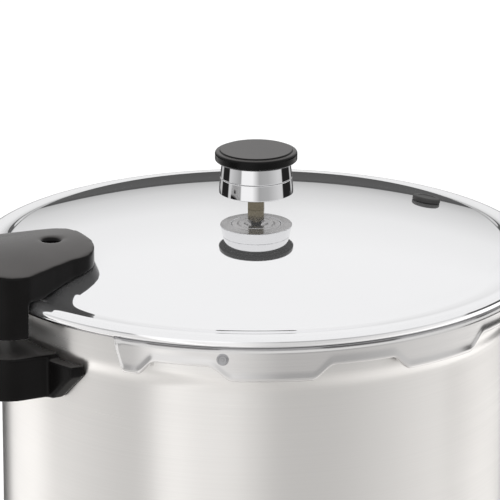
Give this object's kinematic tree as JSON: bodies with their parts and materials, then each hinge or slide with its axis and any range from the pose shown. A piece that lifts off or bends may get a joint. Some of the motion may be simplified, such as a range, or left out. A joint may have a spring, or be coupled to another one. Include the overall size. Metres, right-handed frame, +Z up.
{
  "type": "pressure canner",
  "caption": "Large straight-sided aluminium pot with a domed bayonet cover, a weighted pressure regulator, black grips, a cover lock and a loose perforated rack.",
  "frame": {"origin": "centre of the base on the surface that the canner stands on", "axes": "+Z up through the vent pipe, -X towards the cover handle, handles along X"},
  "size_m": [0.384, 0.3374, 0.2952],
  "materials": {
    "pot_aluminium": "satin, fine brushed grain round the wall",
    "cover_aluminium": "mirror-polished dome and flange, satin skirt",
    "bracket_steel": "plain plated steel",
    "rivet_aluminium": "satin",
    "rack_aluminium": "satin sheet",
    "handle_phenolic": "semi-gloss black moulded plastic",
    "cap_plastic": "semi-gloss black moulded plastic",
    "screw_steel": "plated",
    "seal_rubber": "matte black",
    "plug_rubber": "matte black",
    "vent_brass": "turned, dulled",
    "weight_chrome": "polished",
    "core_steel": "turned",
    "lock_steel": "turned"
  },
  "bodies": {
    "canner": {"canner_body": "pot_aluminium", "body_bracket_left": "bracket_steel", "body_bracket_right": "bracket_steel", "body_bracket_rivets": "rivet_aluminium", "body_handle_left": "handle_phenolic", "body_handle_right": "handle_phenolic", "body_handle_screws": "screw_steel"},
    "rack": {"canning_rack": "rack_aluminium"},
    "seal": {"sealing_ring": "seal_rubber"},
    "cover": {"cover": "cover_aluminium", "stop_rivets": "rivet_aluminium", "overpressure_plug": "plug_rubber", "vent_pipe": "vent_brass", "vent_pipe_nut": "vent_brass", "cover_lock_bushing": "lock_steel", "cover_lock_nut": "lock_steel", "cover_bracket": "bracket_steel", "cover_bracket_rivets": "rivet_aluminium", "cover_handle": "handle_phenolic", "cover_handle_screws": "screw_steel"},
    "lock_pin": {"cover_lock_pin": "lock_steel", "cover_lock_gasket": "seal_rubber"},
    "lower_ring": {"lower_weight_ring": "weight_chrome"},
    "upper_ring": {"upper_weight_ring": "weight_chrome"},
    "regulator": {"regulator_core": "core_steel", "regulator_cap": "cap_plastic"}
  },
  "joints": [
    {"name": "rack_lift", "type": "slide", "parent": "canner", "child": "rack", "axis": [0, 0, 1], "range_m": [0, 0.17]},
    {"name": "cover_lift", "type": "slide", "parent": "canner", "child": "seal", "axis": [0, 0, 1], "range_m": [0, 0.12]},
    {"name": "cover_turn", "type": "hinge", "parent": "seal", "child": "cover", "pos_m": [0, 0, 0.2345], "axis": [0, 0, 1], "range_deg": [0, 18]},
    {"name": "cover_lock", "type": "slide", "parent": "cover", "child": "lock_pin", "axis": [0, 0, 1], "range_m": [0, 0.0035]},
    {"name": "regulator_lift", "type": "slide", "parent": "cover", "child": "lower_ring", "axis": [0, 0, 1], "range_m": [0, 0.045]},
    {"name": "upper_ring_off", "type": "slide", "parent": "lower_ring", "child": "upper_ring", "axis": [0, 0, 1], "range_m": [0, 0.012]},
    {"name": "core_off", "type": "slide", "parent": "upper_ring", "child": "regulator", "axis": [0, 0, 1], "range_m": [0, 0.022]}
  ]
}
